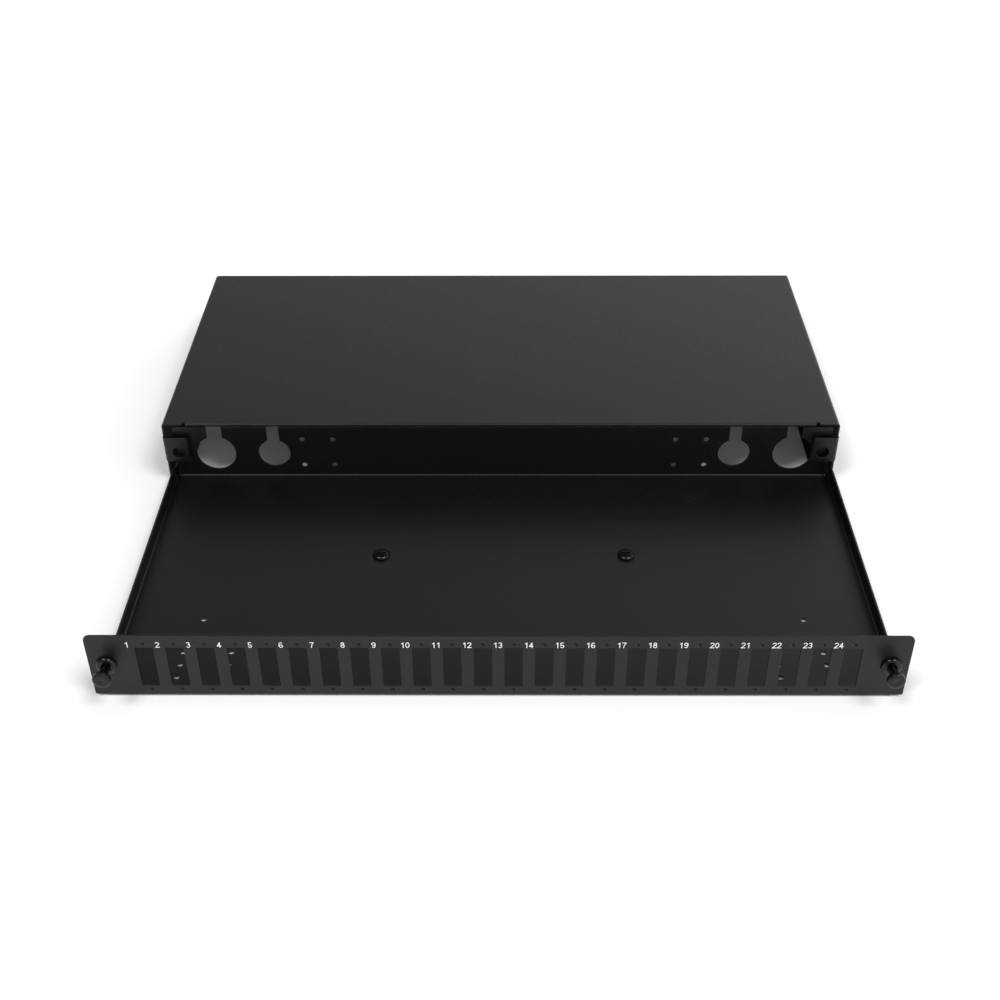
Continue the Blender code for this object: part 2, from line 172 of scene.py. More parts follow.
def addCamera(view):
    pitch, yaw = math.radians(view["pitch"]), math.radians(view["yaw"])
    ahead = Vector((math.sin(yaw) * math.cos(pitch), math.cos(yaw) * math.cos(pitch), -math.sin(pitch)))
    data = bpy.data.cameras.new("camera")
    data.lens = view["lens"]
    data.sensor_width = view["sensor"]
    data.clip_start = 10 * mm
    data.clip_end = 50.0
    camera = link(bpy.data.objects.new("camera", data))
    camera.location = view["place"]
    camera.rotation_mode = "QUATERNION"
    roll = Quaternion((0, 0, 1), math.radians(view["roll"]))
    camera.rotation_quaternion = ahead.to_track_quat("-Z", "Y") @ roll
    bpy.context.scene.camera = camera


addCamera(cameraView)
print("camera placed")


# Stage: a pale table among white walls, under a dim ceiling, with two large far soft boxes
stageSet = {
    "tableWidth": 40.0,
    "tableColour": "#f4f4f3",
    "tableDrift": "#efefee",
    "driftSize": 0.8,
    "tableGlow": 0.02,       # a light table: a little light comes up through it
    "below": 0.2 * mm,
    # brightness by the height of the direction, where 0 is level and 1 is overhead
    "walls": [(0.0, 0.84), (0.54, 0.80), (0.61, 0.40), (0.72, 0.37), (0.82, 0.20), (1.0, 0.15)],
    "wallTint": (0.985, 1.0, 1.06),   # a little cool
    "leftToRight": (0.34, 1.72),
}
softBoxes = {
    "from": [(-0.45, -0.42, 1.0), (0.50, -0.42, 1.0)],   # over the camera, left and right
    "widthAngle": 22,        # degrees that each takes up, seen from the table
    "strength": 1.45,
}


def tablePaint():
    # matt white acrylic: even, with a slow drift in tone
    material = bpy.data.materials.new("matt white acrylic light table")
    material.use_nodes = True
    tree = material.node_tree
    shader = tree.nodes["Principled BSDF"]
    where = addNode(tree, "ShaderNodeTexCoord")
    drift = addNode(tree, "ShaderNodeTexNoise", {
        "Vector": where.outputs["Object"], "Scale": perSize(stageSet["driftSize"]), "Detail": 1.0})
    tone = addNode(tree, "ShaderNodeMix", {
        0: drift.outputs["Fac"],
        6: hexColour(stageSet["tableColour"]),
        7: hexColour(stageSet["tableDrift"]),
    }, data_type="RGBA")
    tree.links.new(tone.outputs[2], shader.inputs["Base Color"])
    shader.inputs["Roughness"].default_value = 0.9
    shader.inputs["Specular IOR Level"].default_value = 0.2
    shader.inputs["Emission Color"].default_value = hexColour(stageSet["tableColour"])
    shader.inputs["Emission Strength"].default_value = stageSet["tableGlow"]
    return material


def studioWorld():
    # what the coat mirrors: bright low walls, brighter to the right, then the dim ceiling
    world = bpy.data.worlds.new("studio")
    world.use_nodes = True
    tree = world.node_tree
    direction = addNode(tree, "ShaderNodeSeparateXYZ", {
        0: addNode(tree, "ShaderNodeTexCoord").outputs["Generated"]})
    walls = addNode(tree, "ShaderNodeValToRGB", {"Fac": direction.outputs["Z"]})
    stops = walls.color_ramp.elements
    first, *between, last = [
        (height, (*(brightness * part for part in stageSet["wallTint"]), 1.0))
        for height, brightness in stageSet["walls"]]
    stops[0].position, stops[0].color = first
    stops[1].position, stops[1].color = last
    for height, colour in between:
        stops.new(height).color = colour
    low, high = stageSet["leftToRight"]
    side = addNode(tree, "ShaderNodeMapRange", {
        "Value": direction.outputs["X"], "From Min": -0.6, "From Max": 0.6, "To Min": low, "To Max": high})
    sky = tree.nodes["Background"]
    tree.links.new(walls.outputs["Color"], sky.inputs["Color"])
    tree.links.new(side.outputs["Result"], sky.inputs["Strength"])
    return world


def addStage():
    bm = bmesh.new()
    bmesh.ops.create_grid(bm, x_segments=1, y_segments=1, size=stageSet["tableWidth"] / 2)
    table = meshObject("table", bm)
    table.data.transform(Matrix.Translation((0, 0, -stageSet["below"])))
    table.data.materials.append(tablePaint())
    # so far away that they light the whole table evenly
    for place in softBoxes["from"]:
        data = bpy.data.lights.new("soft box", "SUN")
        data.angle = math.radians(softBoxes["widthAngle"])
        data.energy = softBoxes["strength"]
        lamp = link(bpy.data.objects.new("soft box", data))
        lamp.location = place
        lamp.rotation_mode = "QUATERNION"
        lamp.rotation_quaternion = Vector(place).to_track_quat("Z", "Y")
    bpy.context.scene.world = studioWorld()
    bpy.context.scene.view_settings.view_transform = "Standard"   # keeps the pale table white


addStage()
print("stage set")


# Powder coat on folded steel: a black polyester coat, satin, with a faint orange peel.
# It is so dark that nearly all one sees of it is what it reflects, a little blurred.
# It pulls thin over cut edges, which come out a little smoother and paler.
powderCoat = {
    "darker": "#050506",
    "lighter": "#09090a",
    "edge": "#131415",
    "cloud": 45 * mm,
    "peel": 2.4 * mm,
    "peelDepth": 0.006 * mm,
    "grit": 0.8 * mm,        # real grit is 0.2 mm; drawn coarser so that it shows
    "gritDepth": 0.004 * mm,
    "roughness": (0.36, 0.44),
    "edgeRoughness": 0.30,
    "ior": 1.42,
    "scuff": (90 * mm, 3 * mm),       # between scuffs, and along one
    "scuffShare": 0.685,     # threshold of the noise: higher is fewer
    "scuffColour": "#1e1f20",
}


def coatMaterial(name):
    material = bpy.data.materials.new(name)
    material.use_nodes = True
    tree = material.node_tree
    shader = tree.nodes["Principled BSDF"]
    where = addNode(tree, "ShaderNodeTexCoord").outputs["Object"]
    edge = addNode(tree, "ShaderNodeAttribute", attribute_name="coatEdge").outputs["Fac"]
    cloud = addNode(tree, "ShaderNodeTexNoise", {
        "Vector": where, "Scale": perSize(powderCoat["cloud"]), "Detail": 3.0, "Roughness": 0.55})
    tone = addNode(tree, "ShaderNodeMix", {
        0: cloud.outputs["Fac"], 6: hexColour(powderCoat["darker"]), 7: hexColour(powderCoat["lighter"]),
    }, data_type="RGBA")
    edgeTone = addNode(tree, "ShaderNodeMix", {
        0: edge, 6: tone.outputs[2], 7: hexColour(powderCoat["edge"])}, data_type="RGBA")

    # scuffs from handling: short rubbed marks, only where a slow noise is high too
    apart, along = powderCoat["scuff"]
    field = addNode(tree, "ShaderNodeTexNoise", {"Vector": where, "Scale": perSize(apart), "Detail": 1.0})
    rub = addNode(tree, "ShaderNodeTexNoise", {
        "Vector": where, "Scale": perSize(along), "Detail": 2.0, "Distortion": 1.5})
    both = addNode(tree, "ShaderNodeMath", {
        0: field.outputs["Fac"], 1: rub.outputs["Fac"]}, operation="ADD")
    scuff = addNode(tree, "ShaderNodeMapRange", {
        "Value": both.outputs[0], "From Min": 2 * powderCoat["scuffShare"],
        "From Max": 2 * powderCoat["scuffShare"] + 0.12})
    worn = addNode(tree, "ShaderNodeMix", {
        0: scuff.outputs["Result"], 6: edgeTone.outputs[2], 7: hexColour(powderCoat["scuffColour"]),
    }, data_type="RGBA")
    tree.links.new(worn.outputs[2], shader.inputs["Base Color"])

    peel = addNode(tree, "ShaderNodeTexNoise", {
        "Vector": where, "Scale": perSize(powderCoat["peel"]), "Detail": 1.5, "Roughness": 0.4})
    grit = addNode(tree, "ShaderNodeTexNoise", {
        "Vector": where, "Scale": perSize(powderCoat["grit"]), "Detail": 2.0, "Roughness": 0.6})
    low, high = powderCoat["roughness"]
    sheen = addNode(tree, "ShaderNodeMapRange", {
        "Value": peel.outputs["Fac"], "From Min": 0.3, "From Max": 0.7, "To Min": low, "To Max": high})
    rough = addNode(tree, "ShaderNodeMix", {
        0: edge, 2: sheen.outputs["Result"], 3: powderCoat["edgeRoughness"]})
    tree.links.new(rough.outputs[0], shader.inputs["Roughness"])
    shader.inputs["IOR"].default_value = powderCoat["ior"]

    waves = addNode(tree, "ShaderNodeBump", {
        "Height": peel.outputs["Fac"], "Strength": 1.0, "Distance": powderCoat["peelDepth"]})
    grains = addNode(tree, "ShaderNodeBump", {
        "Height": grit.outputs["Fac"], "Strength": 1.0, "Distance": powderCoat["gritDepth"],
        "Normal": waves.outputs["Normal"]})
    tree.links.new(grains.outputs["Normal"], shader.inputs["Normal"])
    return material


# Sheet pieces: each CAD sheet again with its cut edges rounded
sheetEdges = {
    "round": 0.18 * mm,
    "steps": 2,
    "sharperThan": 40,       # degrees: bends are finer steps than this
    "flat": 0.3,             # degrees: triangles of one face are joined
    "tiny": 0.07 * mm,       # folds tighter than this are closed up first
}


def sheetPiece(node, name, material, body):
    bm = bmesh.new()
    bm.from_mesh(frame["nodes"][node].data)
    bmesh.ops.remove_doubles(bm, verts=bm.verts, dist=0.001 * mm)
    bmesh.ops.dissolve_limit(bm, angle_limit=math.radians(sheetEdges["flat"]),
                             verts=bm.verts, edges=bm.edges)
    bmesh.ops.dissolve_degenerate(bm, dist=sheetEdges["tiny"], edges=bm.edges)
    for face in bm.faces:
        face.smooth = True
        face.material_index = 0
    sheet = meshObject(name, bm)
    sheet.data.materials.append(material)
    sheet.data.materials.append(material)
    edges = sheet.modifiers.new("rounded edges", "BEVEL")
    edges.width = sheetEdges["round"]
    edges.segments = sheetEdges["steps"]
    edges.limit_method = "ANGLE"
    edges.angle_limit = math.radians(sheetEdges["sharperThan"])
    edges.use_clamp_overlap = False
    edges.material = 1       # marks the new faces
    shading = sheet.modifiers.new("flat faces stay flat", "WEIGHTED_NORMAL")
    shading.keep_sharp = True
    sheet = settle(sheet, name)
    isEdge = [float(face.material_index == 1) for face in sheet.data.polygons]
    marks = sheet.data.attributes.new("coatEdge", "FLOAT", "FACE")
    marks.data.foreach_set("value", isEdge)
    sheet.data.polygons.foreach_set("material_index", [0] * len(isEdge))
    return dress(sheet, material, body, "powder_coated_steel", node)


coat = coatMaterial("satin black polyester powder coat on steel")
sheetPiece("housing_shell", "housing_sheet", coat, "housing")
sheetPiece("drawer_tray", "drawer_sheet", coat, "drawer")
sheetPiece("front_panel", "front_angle", coat, "drawer")
print("sheet pieces made")


def newTree(name, inputs):
    tree = bpy.data.node_groups.new(name, "GeometryNodeTree")
    tree.interface.new_socket(name="Geometry", in_out="INPUT", socket_type="NodeSocketGeometry")
    for label, kind in inputs:
        tree.interface.new_socket(name=label, in_out="INPUT", socket_type=kind)
    tree.interface.new_socket(name="Geometry", in_out="OUTPUT", socket_type="NodeSocketGeometry")
    return tree, addNode(tree, "NodeGroupInput").outputs


def giveInputs(modifier, values):
    # inputs are set by the socket's identifier
    for item in modifier.node_group.interface.items_tree:
        if item.in_out == "INPUT" and item.name in values:
            modifier[item.identifier] = values[item.name]


weldReach = 0.002 * mm


def welded(tree, geometry):
    # corners that a boolean left too close to tell apart become one
    return addNode(tree, "GeometryNodeMergeByDistance", {
        "Geometry": geometry, "Distance": weldReach}).outputs[0]


def sumOf(tree):
    # a short way to add a Math node to one tree
    def add(operation, first, second=0.0):
        return addNode(tree, "ShaderNodeMath", {0: first, 1: second}, operation=operation).outputs[0]
    return add


# Slot numbers: white ink screen-printed on the coat, over the rib left of each slot
slotNumbers = {
    "height": 3.85 * mm,
    "stroke": 0.12,          # this and the next four are shares of the height
    "advance": 0.67,
    "middle": 0.25,          # from the tens to where a lone digit stands
    "halfWidth": 0.23,
    "bowl": 0.23,
    "thickness": 0.03 * mm,
    "sunk": 0.005 * mm,
    "leftOfSlot": 8.7 * mm,
    "aboveSlot": 0.6 * mm,
    "arcStep": 18,           # degrees
    "colour": "#f6f7f7",
    "worn": "#e4e6e6",
    "mesh": 0.5 * mm,        # threads of the printing screen, as they show
    "meshDepth": 0.01 * mm,
}


def inkMaterial():
    # screen ink: dense matt white, a touch uneven where the mesh printed thin
    material = bpy.data.materials.new("white screen-printing ink")
    material.use_nodes = True
    tree = material.node_tree
    shader = tree.nodes["Principled BSDF"]
    where = addNode(tree, "ShaderNodeTexCoord").outputs["Object"]
    mesh = addNode(tree, "ShaderNodeTexNoise", {
        "Vector": where, "Scale": perSize(slotNumbers["mesh"]), "Detail": 2.0})
    tone = addNode(tree, "ShaderNodeMix", {
        0: mesh.outputs["Fac"], 6: hexColour(slotNumbers["colour"]), 7: hexColour(slotNumbers["worn"]),
    }, data_type="RGBA")
    tree.links.new(tone.outputs[2], shader.inputs["Base Color"])
    shader.inputs["Roughness"].default_value = 0.55
    grain = addNode(tree, "ShaderNodeBump", {
        "Height": mesh.outputs["Fac"], "Strength": 0.5, "Distance": slotNumbers["meshDepth"]})
    tree.links.new(grain.outputs["Normal"], shader.inputs["Normal"])
    return material


def digitStrokes():
    # the middle lines of each digit's strokes, for a digit one unit high
    half = slotNumbers["halfWidth"]
    bowl = slotNumbers["bowl"]
    foot = slotNumbers["stroke"] / 2
    top = 1 - foot

    def arc(x, y, acrossR, upR, start, end):
        return ovalArc(x, y, acrossR, upR, start, end, slotNumbers["arcStep"])

    six = arc(0, 0.5, half, top - 0.5, 40, 180) + arc(0, foot + bowl, half, bowl, 180, 540)
    return [
        [arc(0, 0.5, half, top - 0.5, 0, 360)],
        [[(0.08, 0), (0.08, 1)], [(-0.18, 0.74), (-0.04, 0.78), (0.08, top)]],
        [arc(0, top - bowl, half, bowl, 170, -40) + [(-half, foot)],
         [(-half - 0.08, foot), (half + 0.08, foot)]],
        [arc(-0.02, top - 0.21, half - 0.03, 0.21, 160, -90),
         arc(-0.02, foot + bowl, half, bowl, 90, -160)],
        [[(0.1, 0), (0.1, 1)], [(0.1, top), (-half, 0.28)], [(-half - 0.08, 0.28), (half + 0.08, 0.28)]],
        [[(half, top), (-0.2, top)], [(-0.15, 1), (-0.2, 0.45)],
         arc(0, foot + bowl, half, bowl, 140, -160)],
        [six],
        [[(-half - 0.06, top), (half + 0.08, top)], [(half, top), (0.04, 0.55), (-0.08, 0)]],
        [arc(0, top - 0.19, half - 0.04, 0.19, 0, 360), arc(0, foot + bowl, half, bowl, 0, 360)],
        [[(-x, 1 - y) for x, y in six]],
    ]


def digitCurves():
    # one curve object a digit; the names keep them in order
    collection = bpy.data.collections.new("digits")
    for digit, strokes in enumerate(digitStrokes()):
        curve = bpy.data.curves.new(f"digit {digit}", "CURVE")
        curve.dimensions = "3D"
        for stroke in strokes:
            spline = curve.splines.new("POLY")
            spline.use_cyclic_u = math.dist(stroke[0], stroke[-1]) < 1e-6
            if spline.use_cyclic_u:
                stroke = stroke[:-1]
            spline.points.add(len(stroke) - 1)
            for point, (x, y) in zip(spline.points, stroke):
                point.co = (x * slotNumbers["height"], y * slotNumbers["height"], 0, 1)
        collection.objects.link(bpy.data.objects.new(curve.name, curve))
    return collection


def numberTree():
    # two points a number, for its tens and its ones; each takes a digit, swept into a flat bar;
    # a number of two digits stands a little further right than a lone digit
    tree, given = newTree("row of slot numbers", [
        ("Count", "NodeSocketInt"), ("Pitch", "NodeSocketFloat"), ("Advance", "NodeSocketFloat"),
        ("Middle", "NodeSocketFloat"),
        ("Digits", "NodeSocketCollection"), ("Stroke", "NodeSocketFloat"),
        ("Thickness", "NodeSocketFloat"), ("Ink", "NodeSocketMaterial")])
    add = sumOf(tree)
    index = addNode(tree, "GeometryNodeInputIndex").outputs[0]
    order = add("FLOOR", add("DIVIDE", index, 2.0))
    isOnes = add("MODULO", index, 2.0)
    number = add("ADD", order, 1.0)
    tens = add("FLOOR", add("DIVIDE", number, 10.0))
    ones = add("MODULO", number, 10.0)
    hasTens = add("GREATER_THAN", tens, 0.5)
    digit = addNode(tree, "ShaderNodeMix", {0: isOnes, 2: tens, 3: ones}).outputs[0]
    fromLone = add("SUBTRACT", add("MULTIPLY", isOnes, given["Advance"]), given["Middle"])
    aside = add("MULTIPLY", fromLone, hasTens)
    across = add("ADD", add("MULTIPLY", order, given["Pitch"]), aside)
    points = addNode(tree, "GeometryNodePoints", {
        "Count": add("MULTIPLY", given["Count"], 2.0),
        "Position": addNode(tree, "ShaderNodeCombineXYZ", {"X": across}).outputs[0]})
    # the picked digit is stored before the unused tens are taken away
    picked = addNode(tree, "GeometryNodeStoreNamedAttribute", {
        "Geometry": points.outputs[0], "Name": "digit", "Value": digit}, data_type="INT", domain="POINT")
    shown = addNode(tree, "GeometryNodeDeleteGeometry", {
        "Geometry": picked.outputs[0],
        "Selection": add("LESS_THAN", add("ADD", isOnes, hasTens), 0.5)}, domain="POINT")
    shapes = addNode(tree, "GeometryNodeCollectionInfo", {
        "Collection": given["Digits"], "Separate Children": True, "Reset Children": True})
    which = addNode(tree, "GeometryNodeInputNamedAttribute", {"Name": "digit"}, data_type="INT")
    placed = addNode(tree, "GeometryNodeInstanceOnPoints", {
        "Points": shown.outputs[0], "Instance": shapes.outputs[0], "Pick Instance": True,
        "Instance Index": which.outputs["Attribute"]})
    lines = addNode(tree, "GeometryNodeRealizeInstances", {"Geometry": placed.outputs[0]})
    flatLines = addNode(tree, "GeometryNodeSetCurveNormal", {"Curve": lines.outputs[0]}, mode="Z_UP")
    bar = addNode(tree, "GeometryNodeCurvePrimitiveQuadrilateral", {
        "Width": given["Stroke"], "Height": given["Thickness"]}, mode="RECTANGLE")
    swept = addNode(tree, "GeometryNodeCurveToMesh", {
        "Curve": flatLines.outputs[0], "Profile Curve": bar.outputs[0], "Fill Caps": True})
    fused = addNode(tree, "GeometryNodeMeshBoolean", {
        "Mesh 2": swept.outputs[0], "Self Intersection": True}, operation="UNION", solver="EXACT")
    real = addNode(tree, "GeometryNodeRealizeInstances", {"Geometry": welded(tree, fused.outputs[0])})
    inked = addNode(tree, "GeometryNodeSetMaterial", {
        "Geometry": real.outputs[0], "Material": given["Ink"]})
    addNode(tree, "NodeGroupOutput", {0: inked.outputs[0]})
    return tree


def addSlotNumbers():
    slots = [box["box_m"] for box in frame["record"]["physics"]["openings"]
             if box["name"].startswith("adapter_slot_")]
    middles = sorted((low[0] + high[0]) / 2 for low, high in slots)
    slotTop = max(high[2] for low, high in slots)
    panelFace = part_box("front_panel")[0].y
    ink = inkMaterial()
    digits = digitCurves()
    base = link(bpy.data.objects.new("numbers", bpy.data.meshes.new("numbers")))
    rowMaker = base.modifiers.new("row of numbers", "NODES")
    rowMaker.node_group = numberTree()
    giveInputs(rowMaker, {
        "Count": len(slots), "Pitch": (middles[-1] - middles[0]) / (len(slots) - 1),
        "Advance": slotNumbers["advance"] * slotNumbers["height"],
        "Middle": slotNumbers["middle"] * slotNumbers["height"], "Digits": digits,
        "Stroke": slotNumbers["stroke"] * slotNumbers["height"],
        "Thickness": slotNumbers["thickness"], "Ink": ink})
    depth = slotNumbers["thickness"] / 2 - slotNumbers["sunk"]
    corner = Matrix.Translation((middles[0] - slotNumbers["leftOfSlot"], panelFace - depth,
                                 slotTop + slotNumbers["aboveSlot"]))
    upright = Matrix.Rotation(math.pi / 2, 4, "X")
    numbers = settle(base, "slot_numbers", corner @ upright)
    dress(numbers, ink, "drawer", "powder_coated_steel")
    for shape in list(digits.objects):
        bpy.data.objects.remove(shape, do_unlink=True)
    bpy.data.collections.remove(digits)


addSlotNumbers()
print("slot numbers printed")


# Nylon mouldings: black nylon 66 as it comes from the mould, semi-gloss, a hair wavy.
# The knob's face has the mould's fine spark texture; the grommet's rim is glossier.
nylonFinish = {
    # part: (colour, paler colour, lowest roughness, highest roughness, grain depth)
    "plunger": ("#060607", "#0a0a0b", 0.30, 0.40, 0.008 * mm),
    "grommet": ("#040405", "#08080a", 0.16, 0.24, 0.003 * mm),
}
nylonGrain = 0.45 * mm       # real spark texture is 0.1 mm; drawn coarser so that it shows
nylonSink = 3.0 * mm         # the slow waves of shrinkage in thick walls
sinkDepth = 0.02 * mm


def nylonMaterial(part):
    colour, paler, low, high, depth = nylonFinish[part]
    material = bpy.data.materials.new("moulded black nylon 66, " + part)
    material.use_nodes = True
    tree = material.node_tree
    shader = tree.nodes["Principled BSDF"]
    where = addNode(tree, "ShaderNodeTexCoord").outputs["Object"]
    sink = addNode(tree, "ShaderNodeTexNoise", {
        "Vector": where, "Scale": perSize(nylonSink), "Detail": 1.0})
    grain = addNode(tree, "ShaderNodeTexNoise", {
        "Vector": where, "Scale": perSize(nylonGrain), "Detail": 2.0})
    tone = addNode(tree, "ShaderNodeMix", {
        0: sink.outputs["Fac"], 6: hexColour(colour), 7: hexColour(paler)}, data_type="RGBA")
    tree.links.new(tone.outputs[2], shader.inputs["Base Color"])
    gloss = addNode(tree, "ShaderNodeMapRange", {
        "Value": grain.outputs["Fac"], "From Min": 0.3, "From Max": 0.7, "To Min": low, "To Max": high})
    tree.links.new(gloss.outputs["Result"], shader.inputs["Roughness"])
    shader.inputs["IOR"].default_value = 1.38   # a matt skin mirrors less than the bare 1.53
    waves = addNode(tree, "ShaderNodeBump", {
        "Height": sink.outputs["Fac"], "Strength": 0.6, "Distance": sinkDepth})
    spark = addNode(tree, "ShaderNodeBump", {
        "Height": grain.outputs["Fac"], "Strength": 1.0, "Distance": depth,
        "Normal": waves.outputs["Normal"]})
    tree.links.new(spark.outputs["Normal"], shader.inputs["Normal"])
    return material


def alongY(node):
    # turns a shape made up the Z axis to run from the node's front backwards
    low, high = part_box(node)
    front = Matrix.Translation(((low.x + high.x) / 2, low.y, (low.z + high.z) / 2))
    return front @ Matrix.Rotation(-math.pi / 2, 4, "X")


# Plunger: knob, shaft and tip in one moulding; four flutes leave the shaft in the shape of a cross
plungerMoulding = {
    "headHeight": 3.2 * mm,
    "crownDepth": 0.9 * mm,
    "faceShare": 0.62,       # of the knob's radius, where the crown begins
    "partingLine": (1.75 * mm, 0.05 * mm, 0.03 * mm),   # behind the face, half width, height
    "backShare": 0.86,
    "shaft": 2.4 * mm,
    "fillet": 0.3 * mm,
    "rib": 1.25 * mm,        # thickness of a rib
    "flutes": (0.35 * mm, 0.5 * mm),  # start behind the knob's back, end before the tip's band
    "tip": 2.4 * mm,
    "tipBand": 0.45 * mm,
    "tipTaper": 1.0 * mm,
    "tipEnd": (0.70, 0.64),  # shares of the tip's radius, before and at its very end
    "endChamfer": 0.05 * mm,
    "bandRamp": 0.2 * mm,    # from the shaft up to the tip's band
    "gate": (0.95 * mm, 0.22 * mm),   # where the moulding broke off its runner: radius, depth
    "gateSlope": (0.12 * mm, 0.03 * mm, 0.06 * mm),     # inside the rim, its drop, outside it
    "nub": (0.4 * mm, 0.1 * mm, 1.15),      # radius, height, how much wider its foot is
    "steps": 64,
    "arcStep": 12,
}


def plungerProfile(knob, length):
    size = plungerMoulding
    face = knob * size["faceShare"]
    crown = size["crownDepth"]
    gate, gateDepth = size["gate"]
    inside, drop, outside = size["gateSlope"]
    nub, nubRise, foot = size["nub"]
    beforeEnd, atEnd = size["tipEnd"]
    parting, halfLine, lineHeight = size["partingLine"]
    back = size["headHeight"]
    bandStart = length - size["tipTaper"] - size["tipBand"]
    profile = [(0, gateDepth - nubRise), (nub, gateDepth - nubRise), (foot * nub, gateDepth)]
    profile += [(gate - inside, gateDepth), (gate, drop), (gate + outside, 0)]
    profile += ovalArc(face, crown, knob - face, crown, -90, 0, size["arcStep"])
    profile += [(knob, parting - 2 * halfLine), (knob + lineHeight, parting - halfLine),
                (knob + lineHeight, parting + halfLine), (knob, parting + 2 * halfLine)]
    rear = knob * size["backShare"]
    profile += ovalArc(rear, back - (knob - rear), knob - rear, knob - rear, 0, 90, size["arcStep"])
    fillet = size["fillet"]
    root = size["shaft"] + fillet
    profile += ovalArc(root, back + fillet, fillet, fillet, 270, 180, size["arcStep"])
    profile += [(size["shaft"], bandStart - size["bandRamp"]), (size["tip"], bandStart),
                (size["tip"], bandStart + size["tipBand"])]
    profile += [(beforeEnd * size["tip"], length - size["endChamfer"]), (atEnd * size["tip"], length),
                (0, length)]
    return profile


# Grommet: domed flange, and behind the front a barrel split into four legs with a bead
grommetMoulding = {
    "flangeHeight": 2.2 * mm,
    "rim": 0.3 * mm,         # flat ring round the bore before the dome begins
    "domeHeight": 1.75 * mm,
    "bore": 2.55 * mm,
    "boreLip": 0.25 * mm,
    "barrel": 3.6 * mm,
    "beadStart": 4.0 * mm,
    "bead": 0.35 * mm,
    "beadBand": (0.35 * mm, 1.4 * mm, 4.5 * mm),   # rise, end of the full bead, end of its slope
    "legTip": 0.52 * mm,
    "flangeChamfer": 0.15 * mm,
    "legChamfer": 0.1 * mm,
    "split": 0.9 * mm,
    "splitStart": 5.05 * mm,
    "steps": 64,
    "arcStep": 10,
}


def grommetProfile(flange, length):
    size = grommetMoulding
    bore, lip, barrel = size["bore"], size["boreLip"], size["barrel"]
    start = size["beadStart"]
    rise, full, slope = size["beadBand"]
    ring = bore + size["rim"]
    dome = size["domeHeight"]
    rear, chamfer, legChamfer = size["flangeHeight"], size["flangeChamfer"], size["legChamfer"]
    profile = [(bore, lip), (bore + lip, 0)]
    profile += ovalArc(ring, dome, flange - ring, dome, -90, 0, size["arcStep"])
    profile += [(flange, rear - chamfer), (flange - chamfer, rear)]
    profile += [(barrel, rear), (barrel, start), (barrel + size["bead"], start + rise),
                (barrel + size["bead"], start + full), (barrel, start + slope),
                (barrel - size["legTip"], length - legChamfer),
                (barrel - size["legTip"] - legChamfer, length),
                (bore, length), (bore, lip)]
    return profile


def addPlunger(side, material):
    node = "latch_plunger_" + side
    low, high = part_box(node)
    length = high.y - low.y
    profile = plungerProfile((high.x - low.x) / 2, length)
    plunger = meshObject("plunger moulding", turned(profile, plungerMoulding["steps"]))
    afterKnob, beforeTip = plungerMoulding["flutes"]
    start = plungerMoulding["headHeight"] + afterKnob
    end = length - plungerMoulding["tipTaper"] - plungerMoulding["tipBand"] - beforeTip
    near, far = plungerMoulding["rib"] / 2, 2 * plungerMoulding["shaft"]
    bm = bmesh.new()
    for rightwards, upwards in ((1, 1), (-1, 1), (-1, -1), (1, -1)):
        xs = sorted((near * rightwards, far * rightwards))
        ys = sorted((near * upwards, far * upwards))
        addBox(bm, (xs[0], ys[0], start), (xs[1], ys[1], end))
    flutes = meshObject("flutes", bm)
    boolean(plunger, flutes)
    plunger = settle(plunger, "plunger_" + side, alongY(node), creases=28)
    bpy.data.objects.remove(flutes, do_unlink=True)
    dress(plunger, material, "plunger_" + side, "black_nylon", node)


def addGrommet(side, material):
    node = "latch_grommet_" + side
    low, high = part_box(node)
    length = high.y - low.y
    flange = (high.x - low.x) / 2
    profile = grommetProfile(flange, length)
    grommet = meshObject("grommet moulding", turned(profile, grommetMoulding["steps"]))
    half = grommetMoulding["split"] / 2
    cutters = []
    for halfX, halfY in ((half, flange), (flange, half)):
        bm = bmesh.new()
        addBox(bm, (-halfX, -halfY, grommetMoulding["splitStart"]), (halfX, halfY, length + 1 * mm))
        cutters.append(meshObject("split", bm))
        boolean(grommet, cutters[-1])
    grommet = settle(grommet, "grommet_" + side, alongY(node), creases=28)
    for cutter in cutters:
        bpy.data.objects.remove(cutter, do_unlink=True)
    dress(grommet, material, "drawer", "black_nylon", node)


plungerNylon = nylonMaterial("plunger")
grommetNylon = nylonMaterial("grommet")
for side in ("left", "right"):
    addPlunger(side, plungerNylon)
    addGrommet(side, grommetNylon)
print("latches made")


# Floor screws: pan head with a cross recess, and a rolled thread below
floorScrew = {
    "headHeight": 2.6 * mm,
    "wider": 1.12,           # the head is this much wider than the plain CAD head
    "edge": 0.35 * mm,       # upright band of the head under its dome
    "domeShare": 0.30,       # of the head's radius, where the flat top ends
    "floorSheet": 1.2 * mm,  # thickness of the drawer floor that the head stands on
    "underChamfer": 0.1 * mm,
    "shank": 2.4 * mm,
    "thread": (0.8 * mm, 0.42 * mm),  # pitch, depth
    "threadRows": 40,
    "belowSeat": 0.8,        # share of the rod; the rest stands in the head
    "recess": (5.2 * mm, 1.15 * mm, 1.7 * mm),          # across the wings, a wing's width, depth
    "recessMouth": (1.15, 0.3),       # size of the cutter above the head, and its height in depths
    "recessFoot": 0.42,      # share of its size that the recess narrows to
    "steps": 64,
    "arcStep": 9,
}
blackZinc = {
    # black-passivated zinc on steel: a dark metal with a brownish bloom, brighter where it is rubbed
    "colour": "#242427",
    "bloom": "#2f2d2b",
    "patch": 1.6 * mm,
    "roughness": (0.20, 0.32),
    "grain": 0.3 * mm,
    "grainDepth": 0.004 * mm,
}


